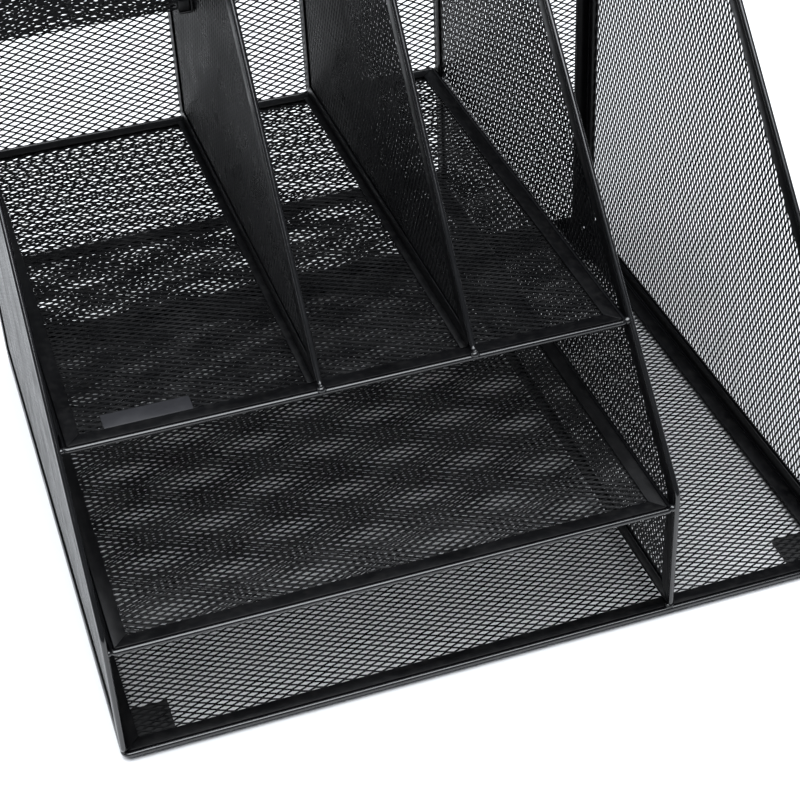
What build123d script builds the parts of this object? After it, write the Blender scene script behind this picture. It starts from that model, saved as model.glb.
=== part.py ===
from build123d import *
from math import hypot, pi
import os

# Desktop file sorter in expanded-metal mesh, in millimetres.
# X runs to the right, Y to the rear, Z up. The origin is on the desk, under the centre of the footprint.
# Every wall, shelf and divider is made the same way: a mesh sheet, its edges clamped in folded
# sheet-steel strips (the binding), and a round wire bent round the outside of the strips.

# Overall layout, between the centres of the edge wires
stack_width = 240.0        # left side to middle wall: holds letter paper
tall_bay_width = 85.0      # middle wall to right side
depth = 296.0
top_height = 305.0         # centre of the top wires above the desk
foot_thickness = 2.2
lower_shelf_rise = 57.0    # lower shelf above the base
upper_shelf_rise = 118.5   # upper shelf above the base
side_front_height = 64.4   # upright part of the side walls' front edge, above the base
side_slope = 0.94          # run towards the rear per rise, above the upright part
divider_slope = 0.77
left_divider_x = 106.0
right_divider_x = 171.0

# Sheet and wire sections
wire_radius = 1.2
mesh_thickness = 1.0
strip_thickness = 2.2
strip_width = 6.0
slot_margin = 1.2          # closed fold of the strip, outside the edge of the mesh
mitre_gap = 0.1            # half of the open seam between two mitred strips
strip_corner_play = 0.4    # added to the strips' corner radius so that it stays inside the wire's bend
clearance = 0.02           # between wires that are welded side by side
flange_width = 3.0         # lip folded out along the foot of a divider
flange_thickness = 0.4

# Bend radii of the wires' centre lines
tight_bend = 2.6
shelf_bend = 1.8
slope_bend = 5.0
toe_bend = 3.6
toe_length = 0.6           # end of a divider's wire in front of the shelf's front wire
divider_strip_corner = 3.0

# Drawer and its runners
drawer_front = 230.0
drawer_rear = 289.0
drawer_height = 70.0
drawer_floor_rise = 205.5  # underside of the drawer above the base
drawer_travel_gap = 0.4    # between the drawer and its runners
runner_length = 56.0
runner_height = 7.6
runner_width = 6.2
runner_wall = 0.8
runner_drop = 2.0          # underside of the runners below the underside of the drawer
slide_bar_inset = 0.5      # ends of the slide bars inside the ends of the runners

# Feet and label
foot_size = (19.0, 20.0)
foot_inset = (4.0, 5.0)
label_size = (36.0, 9.0, 0.4)
label_inset = 19.5
label_gap = 0.3            # between the label and the shelf's front strip

full_width = stack_width + tall_bay_width
wire_pitch = 2 * wire_radius + clearance
base_z = foot_thickness + strip_thickness / 2
wall_foot_z = base_z + wire_pitch
lower_shelf_z = base_z + lower_shelf_rise
upper_shelf_z = base_z + upper_shelf_rise
slope_start_z = base_z + side_front_height
wall_rear_y = depth - wire_pitch
upper_shelf_front = side_slope * (upper_shelf_z - slope_start_z)
wall_top_front = side_slope * (top_height - slope_start_z)
divider_foot_z = upper_shelf_z + wire_pitch
divider_top_front = upper_shelf_front + divider_slope * (top_height - upper_shelf_z)

# The layout above counts from the centre of the left front wire; this moves it to the origin.
to_origin = Location((-full_width / 2, -depth / 2, 0))


def upright_plane(x):
    """Plane of a wall or divider: local x runs to the rear, local y runs up."""
    return Plane(origin=(x, 0, 0), x_dir=(0, 1, 0), z_dir=(1, 0, 0))


def level_plane(z):
    """Plane of the base or a shelf: local x runs to the right, local y runs to the rear."""
    return Plane(origin=(0, 0, z))


def back_plane(y):
    """Plane of the back: local x runs to the right, local y runs up."""
    return Plane(origin=(0, y, 0), x_dir=(1, 0, 0), z_dir=(0, -1, 0))


def moved_edge(start, end, distance):
    """Edge of an anticlockwise outline, moved inwards, as a point and a direction."""
    length = hypot(end[0] - start[0], end[1] - start[1])
    direction = ((end[0] - start[0]) / length, (end[1] - start[1]) / length)
    point = (start[0] - direction[1] * distance, start[1] + direction[0] * distance)
    return point, direction


def crossing(first, second):
    """Point where two lines, each a point and a direction, cross."""
    (p, d), (q, e) = first, second
    along = ((q[0] - p[0]) * e[1] - (q[1] - p[1]) * e[0]) / (d[0] * e[1] - d[1] * e[0])
    return (p[0] + along * d[0], p[1] + along * d[1])


def inset(outline, distance):
    """Anticlockwise outline with every edge moved inwards, or outwards for a negative distance."""
    count = len(outline)
    edges = [moved_edge(outline[i], outline[(i + 1) % count], distance) for i in range(count)]
    return [crossing(edges[i - 1], edges[i]) for i in range(count)]


def sheet(plane, corners, thickness, corner_radius=0.0):
    """Flat plate with straight sides, centred on the plane."""
    face = make_face(Polyline(*corners, close=True))
    if corner_radius:
        face = fillet(face.vertices(), corner_radius)
    return plane * extrude(face, thickness / 2, both=True)


def mesh_sheet(plane, wire_line):
    """The mesh of a wall or shelf, as a plain sheet that reaches into the binding's slot."""
    return sheet(plane, inset(wire_line, wire_radius + slot_margin), mesh_thickness)


def binding_strips(plane, wire_line, corner_radius):
    """Folded strips along every edge, mitred at the corners and slotted for the mesh."""
    outer = inset(wire_line, wire_radius)
    inner = inset(wire_line, wire_radius + strip_width)
    blank = sheet(plane, outer, strip_thickness, corner_radius)
    blank -= sheet(plane, inset(wire_line, wire_radius + slot_margin), mesh_thickness)
    strips = []
    count = len(wire_line)
    for i in range(count):
        j = (i + 1) % count
        _, along = moved_edge(wire_line[i], wire_line[j], 0)
        shift = (along[0] * mitre_gap, along[1] * mitre_gap)
        start = [(p[0] + shift[0], p[1] + shift[1]) for p in (outer[i], inner[i])]
        end = [(p[0] - shift[0], p[1] - shift[1]) for p in (outer[j], inner[j])]
        side = sheet(plane, [start[0], end[0], end[1], start[1]], strip_thickness)
        strips.append((side & blank).solid())
    return Compound(strips)


def bent_wire(plane, points, bends, closed=True):
    """Round wire bent along a line, with a radius for each bend."""
    path = plane * FilletPolyline(*points, radius=bends, close=closed)
    section = Plane(origin=path @ 0, z_dir=path % 0) * Circle(wire_radius)
    wire = sweep(section, path=path)
    expected = pi * wire_radius**2 * path.length
    print(f"  wire {path.length:.1f} mm long, volume {wire.volume / expected:.4f} of its section times length")
    return wire.solid()


def framed_panel(name, plane, wire_line, bends):
    """The three pieces of a wall or shelf, by name."""
    return {
        f"{name}_mesh": mesh_sheet(plane, wire_line),
        f"{name}_binding": binding_strips(plane, wire_line, min(bends) + strip_corner_play - wire_radius),
        f"{name}_wire": bent_wire(plane, wire_line, bends),
    }


def rectangle(left, right, low, high):
    return [(left, low), (right, low), (right, high), (left, high)]


def side_line():
    """Wire line of the sides and the middle wall, from the front foot round by the rear."""
    return [
        (0, wall_foot_z),
        (wall_rear_y, wall_foot_z),
        (wall_rear_y, top_height),
        (wall_top_front, top_height),
        (0, slope_start_z),
    ]


def divider_outline():
    """Edge line of a divider: it has no wire along the foot, where it stands on the shelf."""
    foot = upper_shelf_z + clearance
    front = upper_shelf_front + divider_slope * (foot - upper_shelf_z)
    return [
        (front, foot),
        (wall_rear_y, foot),
        (wall_rear_y, top_height),
        (divider_top_front, top_height),
    ]


def walls():
    """The left side, the middle wall and the right side share one outline."""
    bends = [tight_bend, tight_bend, tight_bend, slope_bend, slope_bend]
    parts = {}
    for name, x in (("left_side", 0), ("middle_wall", stack_width), ("right_side", full_width)):
        parts |= framed_panel(name, upright_plane(x), side_line(), bends)
    return parts


def base_and_back():
    base_line = rectangle(0, full_width, 0, depth)
    back_line = rectangle(0, full_width, wall_foot_z, top_height)
    parts = framed_panel("base", level_plane(base_z), base_line, [tight_bend] * 4)
    parts |= framed_panel("back", back_plane(depth), back_line, [tight_bend] * 4)
    return parts


def shelves():
    """The two shelves hang between the left side and the middle wall."""
    left = wire_pitch
    right = stack_width - wire_pitch
    parts = {}
    for name, front, z in (
        ("lower_shelf", 0, lower_shelf_z),
        ("upper_shelf", upper_shelf_front, upper_shelf_z),
    ):
        line = rectangle(left, right, front, wall_rear_y)
        parts |= framed_panel(name, level_plane(z), line, [shelf_bend] * 4)
    return parts


def foot_flange(x):
    """Lip along the foot of a divider that lies over the shelf's mesh, to the left of the divider."""
    root = x - strip_thickness / 2
    low = upper_shelf_z + wire_radius + clearance
    front = divider_outline()[0][0] + strip_width
    rear = wall_rear_y - strip_width
    return block(root - flange_width, root, front, rear, low, low + flange_thickness)


def divider_wire(plane):
    """Wire up the front of a divider, along its top and down its rear, with a toe on the shelf wire."""
    foot_y = upper_shelf_front + divider_slope * wire_pitch
    points = [
        (upper_shelf_front - toe_length, divider_foot_z),
        (foot_y, divider_foot_z),
        (divider_top_front, top_height),
        (wall_rear_y, top_height),
        (wall_rear_y, divider_foot_z),
    ]
    return bent_wire(plane, points, [toe_bend, slope_bend, tight_bend], closed=False)


def dividers():
    """Two sloped dividers stand on the upper shelf."""
    parts = {}
    for name, x in (("left_divider", left_divider_x), ("right_divider", right_divider_x)):
        plane = upright_plane(x)
        outline = divider_outline()
        parts[f"{name}_mesh"] = mesh_sheet(plane, outline)
        strips = binding_strips(plane, outline, divider_strip_corner).solids()
        parts[f"{name}_binding"] = Compound([*strips, foot_flange(x)])
        parts[f"{name}_wire"] = divider_wire(plane)
    return parts


def block(left, right, front, rear, low, high):
    """Upright box between six faces."""
    size = (right - left, rear - front, high - low)
    return Location(((left + right) / 2, (front + rear) / 2, (low + high) / 2)) * Box(*size)


def drawer():
    """Mesh drawer with two compartments, hung between the left side and the left divider."""
    half_mesh = mesh_thickness / 2
    left = half_mesh + runner_width + drawer_travel_gap
    right = left_divider_x - left
    low = base_z + drawer_floor_rise
    high = low + drawer_height
    wall = mesh_thickness
    rim = strip_thickness / 2
    middle = (left + right) / 2
    parts = {}
    parts["drawer_floor_mesh"] = block(left, right, drawer_front, drawer_rear, low, low + wall)
    parts["drawer_wall_mesh"] = Compound([
        block(left, right, drawer_front, drawer_front + wall, low + wall, high),
        block(left, right, drawer_rear - wall, drawer_rear, low + wall, high),
        block(left, left + wall, drawer_front + wall, drawer_rear - wall, low + wall, high),
        block(right - wall, right, drawer_front + wall, drawer_rear - wall, low + wall, high),
    ])
    parts["drawer_divider_mesh"] = block(
        middle - half_mesh, middle + half_mesh,
        drawer_front + wall, drawer_rear - wall, low + wall, high - strip_width,
    )
    rim_z = high + wire_radius
    rim_line = rectangle(left + half_mesh, right - half_mesh, drawer_front + half_mesh, drawer_rear - half_mesh)
    parts["drawer_rim_wire"] = bent_wire(level_plane(rim_z), rim_line, [tight_bend] * 4)
    parts["drawer_rim_binding"] = rim_binding(left, right, high, rim - half_mesh)
    parts["drawer_slide_bars"] = slide_bars(left, right)
    parts |= runners()
    return parts


def rim_binding(left, right, high, skin):
    """Flat strips round the outside of the drawer's mouth, two long and two short."""
    low = high - strip_width
    front = drawer_front
    rear = drawer_rear
    return Compound([
        block(left - skin, right + skin, front - skin, front, low, high),
        block(left - skin, right + skin, rear, rear + skin, low, high),
        block(left - skin, left, front, rear, low, high),
        block(right, right + skin, front, rear, low, high),
    ])


def runner_heights():
    """Lowest and highest faces of the runners."""
    low = base_z + drawer_floor_rise - runner_drop
    return low, low + runner_height


def slide_bars(left, right):
    """Bars on the drawer's sides that ride inside the runners."""
    low, high = runner_heights()
    inner_low = low + runner_wall + drawer_travel_gap
    inner_high = high - runner_wall - drawer_travel_gap
    reach = runner_width - runner_wall
    front = drawer_front + slide_bar_inset
    rear = drawer_front + runner_length - slide_bar_inset
    return Compound([
        block(left - reach, left, front, rear, inner_low, inner_high),
        block(right, right + reach, front, rear, inner_low, inner_high),
    ])


def runners():
    """Channel runners welded to the left side and the left divider, open towards the drawer."""
    low, high = runner_heights()
    front = drawer_front
    rear = front + runner_length
    half_mesh = mesh_thickness / 2
    parts = {}
    for name, web, mouth in (
        ("left_drawer_runner", half_mesh, half_mesh + runner_width),
        ("right_drawer_runner", left_divider_x - half_mesh, left_divider_x - half_mesh - runner_width),
    ):
        inward = 1 if mouth > web else -1
        outer = block(min(web, mouth), max(web, mouth), front, rear, low, high)
        web_face = web + inward * runner_wall
        groove = block(
            min(web_face, mouth), max(web_face, mouth),
            front, rear, low + runner_wall, high - runner_wall,
        )
        parts[name] = (outer - groove).solid()
    return parts


def rubber_feet():
    """Four rubber pads stuck under the corners of the base, stepped up to meet the mesh."""
    strip_inner = wire_radius + strip_width
    pads = []
    for right_side in (False, True):
        for rear_side in (False, True):
            near_x, near_y = foot_inset
            pad = block(near_x, near_x + foot_size[0], near_y, near_y + foot_size[1], 0, foot_thickness)
            step = block(
                strip_inner, near_x + foot_size[0], strip_inner, near_y + foot_size[1],
                foot_thickness, base_z - mesh_thickness / 2,
            )
            pad = (pad + step).solid()
            if right_side:
                pad = pad.mirror(Plane.YZ.offset(full_width / 2))
            if rear_side:
                pad = pad.mirror(Plane.XZ.offset(-depth / 2))
            pads.append(pad)
    return Compound(pads)


def label_plate():
    """Blank label on the upper shelf's mesh, behind the front strip."""
    width, length, thickness = label_size
    front = upper_shelf_front + wire_radius + strip_width + label_gap
    low = upper_shelf_z + mesh_thickness / 2
    return block(label_inset, label_inset + width, front, front + length, low, low + thickness)


os.makedirs("parts", exist_ok=True)
all_parts = base_and_back() | walls() | shelves() | dividers() | drawer()
all_parts["rubber_feet"] = rubber_feet()
all_parts["label_plate"] = label_plate()
for part_name, part in all_parts.items():
    export_step(to_origin * part, f"parts/{part_name}.step")
print(f"{len(all_parts)} parts, {full_width:.0f} x {depth:.0f} x {top_height:.0f} mm between wire centres")
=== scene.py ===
# %% [markdown]
# # A desk sorter in expanded metal
# This notebook dresses a desktop file sorter: wire-edged walls and shelves of black expanded mesh. The
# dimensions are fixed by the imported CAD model, which the next cell loads. Every new piece is placed from it.

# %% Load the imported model
import math

import bmesh
import bpy
from mathutils import Matrix, Vector


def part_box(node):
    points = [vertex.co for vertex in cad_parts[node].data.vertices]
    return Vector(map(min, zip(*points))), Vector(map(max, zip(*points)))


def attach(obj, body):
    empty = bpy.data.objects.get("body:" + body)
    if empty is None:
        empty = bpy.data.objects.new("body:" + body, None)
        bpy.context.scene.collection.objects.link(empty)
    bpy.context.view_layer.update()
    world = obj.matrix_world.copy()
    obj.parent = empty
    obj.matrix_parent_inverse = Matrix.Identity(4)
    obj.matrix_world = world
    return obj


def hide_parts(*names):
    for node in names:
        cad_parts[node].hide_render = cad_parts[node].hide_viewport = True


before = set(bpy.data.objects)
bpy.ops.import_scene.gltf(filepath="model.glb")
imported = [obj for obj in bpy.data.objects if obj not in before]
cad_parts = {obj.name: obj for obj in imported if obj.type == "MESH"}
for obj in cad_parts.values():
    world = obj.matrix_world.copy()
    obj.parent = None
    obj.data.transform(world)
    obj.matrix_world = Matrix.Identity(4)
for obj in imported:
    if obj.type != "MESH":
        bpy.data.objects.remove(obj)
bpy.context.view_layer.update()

# %% [markdown]
# ## Two habits for working with operators
# Operators act on whatever is selected, so a piece is always made active and everything else deselected first.
# In edit mode the vertices are then picked by their place, as you would pick them with a selection box.


# %% Selection helpers
def make_active(piece):
    """Selects one object alone."""
    bpy.ops.object.select_all(action="DESELECT")
    piece.select_set(True)
    bpy.context.view_layer.objects.active = piece


def edit(piece):
    make_active(piece)
    bpy.ops.object.mode_set(mode="EDIT")
    bpy.ops.mesh.select_mode(type="VERT")
    bpy.ops.mesh.select_all(action="SELECT")


def leave_edit():
    bpy.ops.object.mode_set(mode="OBJECT")


def pick_vertices(piece, wanted):
    """In edit mode, selects the vertices whose place passes a test."""
    bpy.ops.mesh.select_mode(type="VERT")
    bpy.ops.mesh.select_all(action="DESELECT")
    cage = bmesh.from_edit_mesh(piece.data)
    for vertex in cage.verts:
        vertex.select = wanted(vertex.co)
    cage.select_flush_mode()
    bmesh.update_edit_mesh(piece.data)


def pick_faces(piece, wanted):
    """In edit mode, selects the faces whose normal passes a test."""
    bpy.ops.mesh.select_mode(type="FACE")
    bpy.ops.mesh.select_all(action="DESELECT")
    cage = bmesh.from_edit_mesh(piece.data)
    cage.normal_update()
    for face in cage.faces:
        face.select = wanted(face.normal)
    bmesh.update_edit_mesh(piece.data)


def settle(piece):
    """Applies place, turn and size, so that the object sits at the origin."""
    make_active(piece)
    bpy.ops.object.transform_apply(location=True, rotation=True, scale=True)


def add_modifier(piece, kind, **settings):
    """Adds a modifier with the given settings and applies it at once."""
    make_active(piece)
    modifier = piece.modifiers.new(kind.title(), kind)
    for setting, value in settings.items():
        setattr(modifier, setting, value)
    bpy.ops.object.modifier_apply(modifier=modifier.name)


def triangles(piece):
    piece.data.calc_loop_triangles()
    return len(piece.data.loop_triangles)


print("helpers ready")

# %% [markdown]
# ## Building materials from nodes
# A material is a graph of nodes, and the same few steps come back in every graph: place a node, feed it a noise,
# and stretch a value to another range. Each could be typed out every time, but small helpers keep the graphs short.
# A node group is a graph of its own, with named inputs and outputs.


# %% Node helpers
def new_group(name, inputs, outputs):
    """A shader node group with float inputs, and outputs given as (name, type)."""
    group = bpy.data.node_groups.new(name, "ShaderNodeTree")
    for label, value in inputs.items():
        socket = group.interface.new_socket(name=label, in_out="INPUT", socket_type="NodeSocketFloat")
        socket.default_value = value
    for label, kind in outputs:
        group.interface.new_socket(name=label, in_out="OUTPUT", socket_type=kind)
    return group, group.nodes.new("NodeGroupInput"), group.nodes.new("NodeGroupOutput")


def add_node(tree, kind, **settings):
    node = tree.nodes.new(kind)
    for setting, value in settings.items():
        setattr(node, setting, value)
    return node


def noise(tree, place, scale, detail):
    texture = add_node(tree, "ShaderNodeTexNoise")
    texture.inputs["Scale"].default_value = scale
    texture.inputs["Detail"].default_value = detail
    tree.links.new(place, texture.inputs["Vector"])
    return texture.outputs["Fac"]


def remap(tree, value, low, high, to_low, to_high):
    """Map Range node. The last two limits may be numbers or sockets."""
    node = add_node(tree, "ShaderNodeMapRange")
    tree.links.new(value, node.inputs["Value"])
    node.inputs["From Min"].default_value = low
    node.inputs["From Max"].default_value = high
    for label, limit in (("To Min", to_low), ("To Max", to_high)):
        if isinstance(limit, (int, float)):
            node.inputs[label].default_value = limit
        else:
            tree.links.new(limit, node.inputs[label])
    return node.outputs["Result"]


print("node helpers ready")

# %% [markdown]
# ## The powder coat, as a reusable effect
# Powder coat is paint baked from a fine powder. Up close it is never perfectly smooth: it has a pebbled skin of
# about a third of a millimetre, slightly uneven gloss, and a little dust where it faces up. This could be
# painted separately in each material, but a node group lets every black part share it with its own strength.

# %% Powder coat: skin and gloss
coat, given, out = new_group(
    "powder coat",
    {"Grain": 0.3, "Roughness": 0.42, "Unevenness": 0.1, "Dust": 0.03},
    [("Color", "NodeSocketColor"), ("Roughness", "NodeSocketFloat"), ("Normal", "NodeSocketVector")],
)
place = add_node(coat, "ShaderNodeTexCoord").outputs["Object"]
pebbles = noise(coat, place, 2800, 2)
patches = noise(coat, place, 55, 4)

bump = add_node(coat, "ShaderNodeBump")
bump.inputs["Distance"].default_value = 0.00006
coat.links.new(given.outputs["Grain"], bump.inputs["Strength"])
coat.links.new(pebbles, bump.inputs["Height"])
coat.links.new(bump.outputs["Normal"], out.inputs["Normal"])

swing = add_node(coat, "ShaderNodeMath", operation="MULTIPLY_ADD")
coat.links.new(remap(coat, patches, 0.3, 0.7, -1, 1), swing.inputs[0])
coat.links.new(given.outputs["Unevenness"], swing.inputs[1])
coat.links.new(given.outputs["Roughness"], swing.inputs[2])
coat.links.new(swing.outputs["Value"], out.inputs["Roughness"])

print("skin and gloss:", len(coat.nodes), "nodes")

# %% Powder coat: dust and colour
black_dark = (0.0014, 0.0014, 0.0017, 1)
black_light = (0.0026, 0.0026, 0.0031, 1)
dust_colour = (0.3, 0.29, 0.27, 1)
facing = add_node(coat, "ShaderNodeSeparateXYZ")
coat.links.new(add_node(coat, "ShaderNodeNewGeometry").outputs["Normal"], facing.inputs["Vector"])
settled = add_node(coat, "ShaderNodeMath", operation="MULTIPLY")
coat.links.new(remap(coat, facing.outputs["Z"], 0.5, 1, 0, given.outputs["Dust"]), settled.inputs[0])
coat.links.new(remap(coat, noise(coat, place, 300, 5), 0.45, 0.75, 0, 1), settled.inputs[1])

tint = add_node(coat, "ShaderNodeMix", data_type="RGBA")
tint.inputs["A"].default_value = black_dark
tint.inputs["B"].default_value = black_light
coat.links.new(patches, tint.inputs["Factor"])
dusted = add_node(coat, "ShaderNodeMix", data_type="RGBA")
dusted.inputs["B"].default_value = dust_colour
coat.links.new(settled.outputs["Value"], dusted.inputs["Factor"])
coat.links.new(tint.outputs["Result"], dusted.inputs["A"])
coat.links.new(dusted.outputs["Result"], out.inputs["Color"])
print("group", coat.name, "has", len(coat.nodes), "nodes")

# %% [markdown]
# ## Four black coats
# The wires catch long thin highlights and are a little glossier. The strips are flat and dull, and the mesh's
# strands are cut from the same sheet but take the powder unevenly. Each gets the shared group with its own
# values. Numbers that are the same all over a surface are set on the shader itself.


# %% Black coats
def new_material(name, specular):
    material = bpy.data.materials.new(name)
    material.use_nodes = True
    shader = material.node_tree.nodes["Principled BSDF"]
    shader.inputs["Specular IOR Level"].default_value = specular
    return material, material.node_tree, shader


def black_coat(name, specular, **values):
    """Powder-coated steel, from the shared group."""
    material, tree, shader = new_material(name, specular)
    effect = add_node(tree, "ShaderNodeGroup", node_tree=coat)
    for label, value in values.items():
        effect.inputs[label.title()].default_value = value
    tree.links.new(effect.outputs["Color"], shader.inputs["Base Color"])
    tree.links.new(effect.outputs["Roughness"], shader.inputs["Roughness"])
    tree.links.new(effect.outputs["Normal"], shader.inputs["Normal"])
    return material


wire_coat = black_coat("black wire coat", 0.75, grain=0.2, roughness=0.18, unevenness=0.06, dust=0.0)
strip_coat = black_coat("black strip coat", 0.2, grain=0.4, roughness=0.36, unevenness=0.08, dust=0.02)
mesh_coat = black_coat("black mesh coat", 0.25, grain=0.2, roughness=0.3, unevenness=0.1, dust=0.02)
runner_coat = black_coat("black runner coat", 0.4, grain=0.3, roughness=0.4, unevenness=0.06, dust=0.01)
print("coats:", ", ".join(m.name for m in (wire_coat, strip_coat, mesh_coat, runner_coat)))

# %% [markdown]
# ## Rubber and film
# Rubber pads are moulded with a faint fine texture and stay dull. The label is a blank matt film.
# Neither is powder coated, so both get a small graph of their own.


# %% Rubber and film
def mottle(tree, shader, place, scale, dark, light):
    """Base colour that wanders between two shades."""
    shade = add_node(tree, "ShaderNodeMix", data_type="RGBA")
    shade.inputs["A"].default_value = dark
    shade.inputs["B"].default_value = light
    tree.links.new(noise(tree, place, scale, 4), shade.inputs["Factor"])
    tree.links.new(shade.outputs["Result"], shader.inputs["Base Color"])


def texture_bump(tree, shader, height, strength, distance):
    bump = add_node(tree, "ShaderNodeBump")
    bump.inputs["Strength"].default_value = strength
    bump.inputs["Distance"].default_value = distance
    tree.links.new(height, bump.inputs["Height"])
    tree.links.new(bump.outputs["Normal"], shader.inputs["Normal"])


rubber, tree, shader = new_material("pad rubber", 0.3)
place = add_node(tree, "ShaderNodeTexCoord").outputs["Object"]
texture_bump(tree, shader, noise(tree, place, 1500, 3), 0.5, 0.0001)
tree.links.new(remap(tree, noise(tree, place, 90, 3), 0.3, 0.7, 0.7, 0.9), shader.inputs["Roughness"])
mottle(tree, shader, place, 200, (0.010, 0.010, 0.010, 1), (0.018, 0.018, 0.018, 1))

film, tree, shader = new_material("label film", 0.4)
place = add_node(tree, "ShaderNodeTexCoord").outputs["Object"]
texture_bump(tree, shader, noise(tree, place, 600, 2), 0.2, 0.00005)
tree.links.new(remap(tree, noise(tree, place, 120, 3), 0.3, 0.7, 0.35, 0.5), shader.inputs["Roughness"])
mottle(tree, shader, place, 400, (0.014, 0.014, 0.016, 1), (0.026, 0.026, 0.029, 1))
print("materials:", len(bpy.data.materials))

# %% [markdown]
# ## One strand of expanded metal
# Expanded metal starts as a solid sheet. It is slit in rows and pulled, so that every slit opens into a diamond
# and the strands between them twist out of the sheet's plane. A flat image of diamonds would look dead, because
# the sparkle comes from those tilted strands. So one strand is modelled: a small box, tilted along its length,
# with its far end pushed up the diamond's side.

# %% Strand
long_way = 0.0064          # length of a diamond
short_way = 0.0034         # height of a diamond
strand_width = 0.00081
strand_thickness = 0.00023
strand_tilt = math.radians(9.5)
steep_tilt = math.radians(15)
bond = 0.00035             # distance between the centres of two strands where they join
bond_step = 0.00005        # the lower strand of a bond sits this much below the upper one


def strand(name, tilt):
    """Half a side of a diamond: a tilted box, sheared so that its far end climbs, and open at both ends."""
    bpy.ops.object.select_all(action="DESELECT")
    bpy.ops.mesh.primitive_cube_add(
        size=1, location=(long_way / 4, 0, 0), scale=(long_way / 2, strand_width, strand_thickness)
    )
    piece = bpy.context.object
    piece.name = name
    settle(piece)
    edit(piece)
    bpy.ops.transform.rotate(value=-tilt, orient_axis="X", center_override=(0, 0, 0))
    rise = short_way / 2 - bond
    drop = bond * math.tan(tilt) + bond_step
    bpy.ops.transform.translate(value=(0, -rise / 2, drop / 2))
    pick_vertices(piece, lambda co: co.x > long_way / 4)
    bpy.ops.transform.translate(value=(0, rise, -drop))
    pick_faces(piece, lambda normal: abs(normal.x) > 0.9)
    bpy.ops.mesh.delete(type="ONLY_FACE")
    leave_edit()
    print(f"{name}: strand rises {rise * 1000:.2f} mm over {long_way * 500:.1f} mm")
    return piece


# %% [markdown]
# ## From a strand to a sheet
# Mirroring gives the other side of the diamond, and an array joins the pair into one long zigzag ribbon with
# closed ends. The next ribbon is half a diamond along and half a diamond up. Two more arrays make a sheet that is
# larger than the largest panel. Arrays keep this exact, where copying by hand would drift. The two dividers look
# almost closed from the front, so their sheet has strands that stand steeper.

# %% Sheets
sheet_length = 0.330
sheet_height = 0.312
pairs = math.ceil(sheet_length / long_way)
rows = math.ceil(sheet_height / short_way)
weld_gap = 0.000005        # corners closer than this are merged


def expanded_sheet(name, tilt):
    """A flat sheet of zigzag ribbons, centred on the origin."""
    piece = strand(name, tilt)
    add_modifier(piece, "MIRROR", use_axis=(True, False, False), merge_threshold=weld_gap)
    add_modifier(
        piece, "ARRAY", count=pairs, use_relative_offset=False, use_constant_offset=True,
        constant_offset_displace=(long_way, 0, 0), use_merge_vertices=True, merge_threshold=weld_gap,
    )
    edit(piece)
    bpy.ops.mesh.fill_holes(sides=4)
    bpy.ops.mesh.select_all(action="SELECT")
    bpy.ops.mesh.normals_make_consistent(inside=False)
    leave_edit()
    for count, step in ((2, (long_way / 2, short_way / 2, 0)), (rows, (0, short_way, 0))):
        add_modifier(
            piece, "ARRAY", count=count, use_relative_offset=False, use_constant_offset=True,
            constant_offset_displace=step, use_merge_vertices=False,
        )
    edit(piece)
    shift = Vector((0.07 * long_way, 0.06 * short_way, 0))  # keeps the cuts clear of the strands' corners
    bpy.ops.transform.translate(value=shift - Vector((pairs * long_way, rows * short_way, 0)) / 2)
    leave_edit()
    print(name, "has", triangles(piece), "triangles")
    return piece


open_sheet = expanded_sheet("open_sheet", strand_tilt)
steep_sheet = expanded_sheet("steep_sheet", steep_tilt)

# %% [markdown]
# ## Cutting the panels
# Each panel is a copy of a sheet, turned into place and cut along its outline with the bisect tool. The
# outline comes from the plain CAD plate that stands for the mesh. The cut ends disappear inside the strips.
# The diamonds lie along the width on shelves and the back, and stand upright on the walls.

# %% Turns
quarter = math.radians(90)
turns = {
    "level": (0, 0, 0),                  # diamonds along X, rows along Y
    "back": (quarter, 0, 2 * quarter),   # diamonds along X, rows up
    "wall": (0, -quarter, 0),            # diamonds upright, rows along Y, strands facing left
    "drawer side": (quarter, 0, quarter),  # diamonds along Y, rows up
}
print("turns:", ", ".join(turns))


# %% Plate outlines

def thin_axis(low, high):
    """The axis along which a plate is thinnest: 0, 1 or 2."""
    sizes = [high[i] - low[i] for i in range(3)]
    return sizes.index(min(sizes))


def plate_outline(node):
    """Corners of a flat CAD plate, in order round their middle, and the plate's middle."""
    low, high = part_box(node)
    across = thin_axis(low, high)
    middle = (low + high) / 2
    u, v = [i for i in range(3) if i != across]
    corners = {}
    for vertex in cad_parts[node].data.vertices:
        corners[(round(vertex.co[u], 6), round(vertex.co[v], 6))] = vertex.co.copy()
    points = list(corners.values())
    centre = sum(points, Vector()) / len(points)
    points.sort(key=lambda p: math.atan2(p[v] - centre[v], p[u] - centre[u]))
    for point in points:
        point[across] = middle[across]
    return points, centre, across


print("a shelf's outline has", len(plate_outline("upper_shelf_mesh")[0]), "corners")

# %% [markdown]
# A bisect cuts every strand it meets and leaves the cut ends open, so they are filled afterwards. Where a cut only
# grazes a strand it leaves a sliver that can't be filled cleanly. Those slivers are removed and filled once more.

# %% Panel cutter
sharp_cut = 0.0000005  # how far from the cutting plane a vertex still counts as on it


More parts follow.
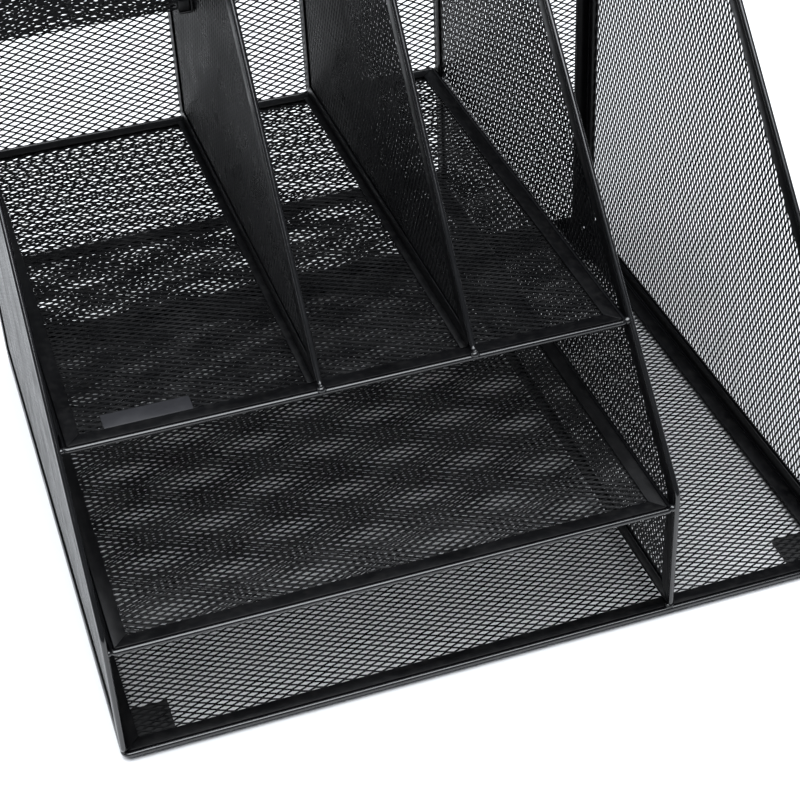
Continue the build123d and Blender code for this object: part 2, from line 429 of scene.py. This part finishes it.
def cut_panel(name, corners, centre, across, turn, sheet=open_sheet):
    """A copy of the sheet, turned, moved to the plate's middle and cut along its outline."""
    panel = sheet.copy()
    panel.data = sheet.data.copy()
    panel.name = name
    panel.data.name = name
    bpy.context.scene.collection.objects.link(panel)
    spot = centre.copy()
    spot[across] = corners[0][across]
    panel.location = spot
    panel.rotation_euler = turns[turn]
    settle(panel)
    edit(panel)
    normal_of_plate = Vector([1.0 if i == across else 0.0 for i in range(3)])
    for start, end in zip(corners, corners[1:] + corners[:1]):
        outward = (end - start).cross(normal_of_plate).normalized()
        if outward.dot(start - centre) < 0:
            outward.negate()
        bpy.ops.mesh.select_all(action="SELECT")
        bpy.ops.mesh.bisect(plane_co=start, plane_no=outward, clear_outer=True, threshold=sharp_cut)
    bpy.ops.mesh.select_all(action="SELECT")
    bpy.ops.mesh.fill_holes(sides=0)
    bpy.ops.mesh.select_mode(type="VERT")
    bpy.ops.mesh.select_all(action="DESELECT")
    bpy.ops.mesh.select_non_manifold()  # slivers where a cut grazes a strand
    bpy.ops.mesh.delete(type="VERT")
    bpy.ops.mesh.select_all(action="SELECT")
    bpy.ops.mesh.fill_holes(sides=0)
    leave_edit()
    panel.data.materials.clear()
    panel.data.materials.append(mesh_coat)
    return panel


def finish_piece(piece, body, slot, *nodes):
    """Says which body a piece rides on and hides the CAD nodes that it stands for. The slot is not used."""
    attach(piece, body)
    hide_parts(*nodes)


print("panel cutter ready")

# %% Shelves, walls and back
panels = {
    "base": "level", "lower_shelf": "level", "upper_shelf": "level", "back": "back",
    "left_side": "wall", "middle_wall": "wall", "right_side": "wall",
    "left_divider": "wall", "right_divider": "wall",
}
for panel_name, turn in panels.items():
    corners, centre, across = plate_outline(f"{panel_name}_mesh")
    sheet = steep_sheet if "divider" in panel_name else open_sheet
    panel = cut_panel(f"{panel_name}_diamonds", corners, centre, across, turn, sheet)
    finish_piece(panel, "frame", "black_mesh", f"{panel_name}_mesh")
    print(panel.name, "has", triangles(panel), "triangles")

# %% [markdown]
# ## The drawer's mesh
# The drawer is a small box of the same mesh, folded at its edges. Its four walls are one node in the CAD, so the
# corners of each wall are taken from that node's box, and the four cut walls are joined into one piece.

# %% Drawer panels
low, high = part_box("drawer_wall_mesh")
half_plate = 0.0005  # half of the plates' thickness
wall_pieces = []
for y in (low.y + half_plate, high.y - half_plate):
    corners = [Vector((low.x, y, low.z)), Vector((high.x, y, low.z)),
               Vector((high.x, y, high.z)), Vector((low.x, y, high.z))]
    centre = sum(corners, Vector()) / 4
    wall_pieces.append(cut_panel("drawer_wall_diamonds", corners, centre, 1, "back"))
for x in (low.x + half_plate, high.x - half_plate):
    corners = [Vector((x, low.y, low.z)), Vector((x, high.y, low.z)),
               Vector((x, high.y, high.z)), Vector((x, low.y, high.z))]
    centre = sum(corners, Vector()) / 4
    wall_pieces.append(cut_panel("drawer_wall_diamonds", corners, centre, 0, "drawer side"))
make_active(wall_pieces[0])
for piece in wall_pieces:
    piece.select_set(True)
bpy.ops.object.join()
drawer_walls = bpy.context.object
drawer_walls.name = "drawer_wall_diamonds"
finish_piece(drawer_walls, "drawer", "black_mesh", "drawer_wall_mesh")
for part, turn in (("floor", "level"), ("divider", "drawer side")):
    corners, centre, across = plate_outline(f"drawer_{part}_mesh")
    panel = cut_panel(f"drawer_{part}_diamonds", corners, centre, across, turn)
    finish_piece(panel, "drawer", "black_mesh", f"drawer_{part}_mesh")
bpy.data.objects.remove(open_sheet)
bpy.data.objects.remove(steep_sheet)
print("drawer walls have", triangles(drawer_walls), "triangles")

# %% [markdown]
# ## Strips and wires
# The strips and wires have the right shape in the CAD, but their edges there are perfectly sharp and their
# triangles loose. Folded steel always has a small radius, and that radius is what catches the light. So each is
# copied, merged and shaded smooth. On the strips the flat triangles are also dissolved into faces and a fine bevel
# rounds what is sharp; the wires get no bevel.


# %% Edge rounding
def refined_copy(node, name, width):
    """A merged copy of a CAD node, with its sharp edges rounded if a width is given."""
    piece = bpy.data.objects.new(name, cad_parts[node].data.copy())
    piece.data.name = name
    bpy.context.scene.collection.objects.link(piece)
    edit(piece)
    bpy.ops.mesh.remove_doubles(threshold=0.000002)
    leave_edit()
    if width:
        edit(piece)
        bpy.ops.mesh.dissolve_limited(angle_limit=math.radians(2))
        leave_edit()
        add_modifier(piece, "BEVEL", width=width, segments=2, limit_method="ANGLE",
                     angle_limit=math.radians(50), use_clamp_overlap=True)
    make_active(piece)
    bpy.ops.object.shade_smooth_by_angle(angle=math.radians(40))
    piece.data.materials.clear()
    return piece


made = 0
for panel_name in panels:
    for part, material, width in (("binding", strip_coat, 0.00018), ("wire", wire_coat, 0)):
        node = f"{panel_name}_{part}"
        piece = refined_copy(node, f"{panel_name}_{part}_rounded", width)
        piece.data.materials.append(material)
        finish_piece(piece, "frame", f"black_{part}", node)
        made += 1
print(made, "strips and wires refined")

# %% Drawer rim, bars, runners and feet
small_parts = (
    ("drawer_rim_wire", "drawer", wire_coat, "black_wire", 0),
    ("drawer_rim_binding", "drawer", strip_coat, "black_binding", 0.00018),
    ("drawer_slide_bars", "drawer", runner_coat, "black_runner", 0.0003),
    ("left_drawer_runner", "frame", runner_coat, "black_runner", 0.0002),
    ("right_drawer_runner", "frame", runner_coat, "black_runner", 0.0002),
    ("rubber_feet", "frame", rubber, "rubber", 0.0005),
    ("label_plate", "frame", film, "label_film", 0.00012),
)
for node, body, material, slot, width in small_parts:
    piece = refined_copy(node, f"{node}_rounded", width)
    piece.data.materials.append(material)
    finish_piece(piece, body, slot, node)
    print(piece.name, triangles(piece), "triangles")

# %% [markdown]
# ## Weld beads
# Where two wires meet they are spot welded, which leaves a small smooth blob. A ball alone looks like a bead on a
# string, so each starts as a ball and is flattened and stretched along the joint.

# %% Bead places
wire = 0.0012           # radius of the edge wire
small_bead = 0.0014     # radius before it is flattened
large_bead = 0.0019
small_inset = 1.4 * wire  # keeps a bead inside the object's outline
large_inset = 1.9 * wire
middle_low, middle_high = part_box("middle_wall_wire")
base_low, base_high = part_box("base_wire")
bead_spots = []
for shelf in ("lower_shelf_wire", "upper_shelf_wire"):
    low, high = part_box(shelf)
    height = (low.z + high.z) / 2
    bead_spots.append(((low.x, low.y + small_inset, height), small_bead))
    bead_spots.append(((high.x, low.y + large_inset, height), large_bead))
shelf_low, shelf_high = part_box("upper_shelf_wire")
for divider in ("left_divider_wire", "right_divider_wire"):
    low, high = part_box(divider)
    spot = ((low.x + high.x) / 2, shelf_low.y + 1.3 * wire, shelf_high.z)
    bead_spots.append((spot, large_bead))
middle_x = (middle_low.x + middle_high.x) / 2
bead_spots.append(((middle_x, base_low.y + large_inset, base_high.z), large_bead))
for x in (base_low.x + small_inset, base_high.x - small_inset):
    bead_spots.append(((x, base_low.y + 3.0 * wire, base_high.z), small_bead))
print(len(bead_spots), "places where wires meet")

# %% Bead shapes
flattening = (1.15, 1.0, 0.9)
unevenness = 0.00008
beads = []
for spot, bead_radius in bead_spots:
    bpy.ops.object.select_all(action="DESELECT")
    bpy.ops.mesh.primitive_ico_sphere_add(subdivisions=3, radius=bead_radius, location=spot)
    bead = bpy.context.object
    settle(bead)
    edit(bead)
    bpy.ops.transform.resize(value=flattening, center_override=spot)
    bpy.ops.mesh.select_all(action="SELECT")
    bpy.ops.transform.vertex_random(offset=unevenness, seed=len(beads) + 1)
    leave_edit()
    bpy.ops.object.shade_smooth()
    beads.append(bead)
make_active(beads[0])
for bead in beads:
    bead.select_set(True)
bpy.ops.object.join()
welds = bpy.context.object
welds.name = "weld_beads"
welds.data.materials.clear()
welds.data.materials.append(wire_coat)
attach(welds, "frame")
print(len(bead_spots), "weld beads,", triangles(welds), "triangles")

# %% [markdown]
# ## Camera, floor and light
# The camera stands in front of the sorter's left end, looks down on it and is rolled, so that the width rises to
# the right. The floor is plain white. An area light would do, but its light falls off and leaves a grey horizon,
# so a sun with a very wide disc lights the whole floor evenly and still gives soft shadows. A small soft box at the
# left draws thin highlights on the wires. The backdrop is white to the eye and dim as a light.

# %% Camera
camera_data = bpy.data.cameras.new("camera")
camera_data.lens = 83.93
camera_data.sensor_width = 36.0
camera = bpy.data.objects.new("camera", camera_data)
bpy.context.scene.collection.objects.link(camera)
right = Vector((0.947879, -0.316221, -0.039104))
down = Vector((-0.22161, -0.566096, -0.793993))
forward = Vector((0.22894, 0.761275, -0.606668))
camera.matrix_world = Matrix.Translation((-0.19761, -0.67359, 0.56836)) @ Matrix(
    (right, -down, -forward)
).transposed().to_4x4()
bpy.context.scene.camera = camera
print("camera at", tuple(round(c, 3) for c in camera.location))

# %% Floor
bpy.ops.object.select_all(action="DESELECT")
bpy.ops.mesh.primitive_plane_add(size=2.6, location=(0, 0, 0))
floor = bpy.context.object
floor.name = "floor"
floor_paper, tree, shader = new_material("white floor", 0.2)
shader.inputs["Base Color"].default_value = (0.86, 0.86, 0.86, 1)
shader.inputs["Roughness"].default_value = 0.8
floor.data.materials.append(floor_paper)
print("floor of", round(floor.dimensions.x, 1), "m")


# %% Lights
cool_white = (0.93, 0.96, 1.0)


def aim_at(lamp, place, aim):
    lamp.rotation_euler = (Vector(aim) - Vector(place)).to_track_quat("-Z", "Y").to_euler()
    bpy.context.scene.collection.objects.link(lamp)


def soft_box(name, place, aim, size, power):
    light = bpy.data.lights.new(name, "AREA")
    light.shape = "RECTANGLE"
    light.size, light.size_y = size
    light.energy = power
    light.color = cool_white
    lamp = bpy.data.objects.new(name, light)
    lamp.location = place
    aim_at(lamp, place, aim)


sky = bpy.data.lights.new("wide overhead light", "SUN")
sky.energy = 5.3
sky.angle = math.radians(60)   # a very wide source, so every shadow is soft
sky.color = cool_white
sky_lamp = bpy.data.objects.new("wide overhead light", sky)
aim_at(sky_lamp, (-0.2, -0.3, 2.2), (0, 0, 0))
soft_box("side box", (-1.6, 0.2, 1.3), (0, 0, 0.1), (0.5, 0.5), 5)

# %% Backdrop
world_glow = 0.2       # what the backdrop gives as a light
world_white = 1.0      # added where the camera sees it directly
world = bpy.data.worlds.new("studio")
world.use_nodes = True
world.node_tree.nodes["Background"].inputs["Color"].default_value = (0.85, 0.91, 1, 1)
tree = world.node_tree
brightness = add_node(tree, "ShaderNodeMath", operation="MULTIPLY_ADD")
brightness.inputs[1].default_value = world_white
brightness.inputs[2].default_value = world_glow
tree.links.new(add_node(tree, "ShaderNodeLightPath").outputs["Is Camera Ray"], brightness.inputs[0])
tree.links.new(brightness.outputs[0], tree.nodes["Background"].inputs["Strength"])
bpy.context.scene.world = world
bpy.context.scene.view_settings.view_transform = "Standard"
print("studio ready")
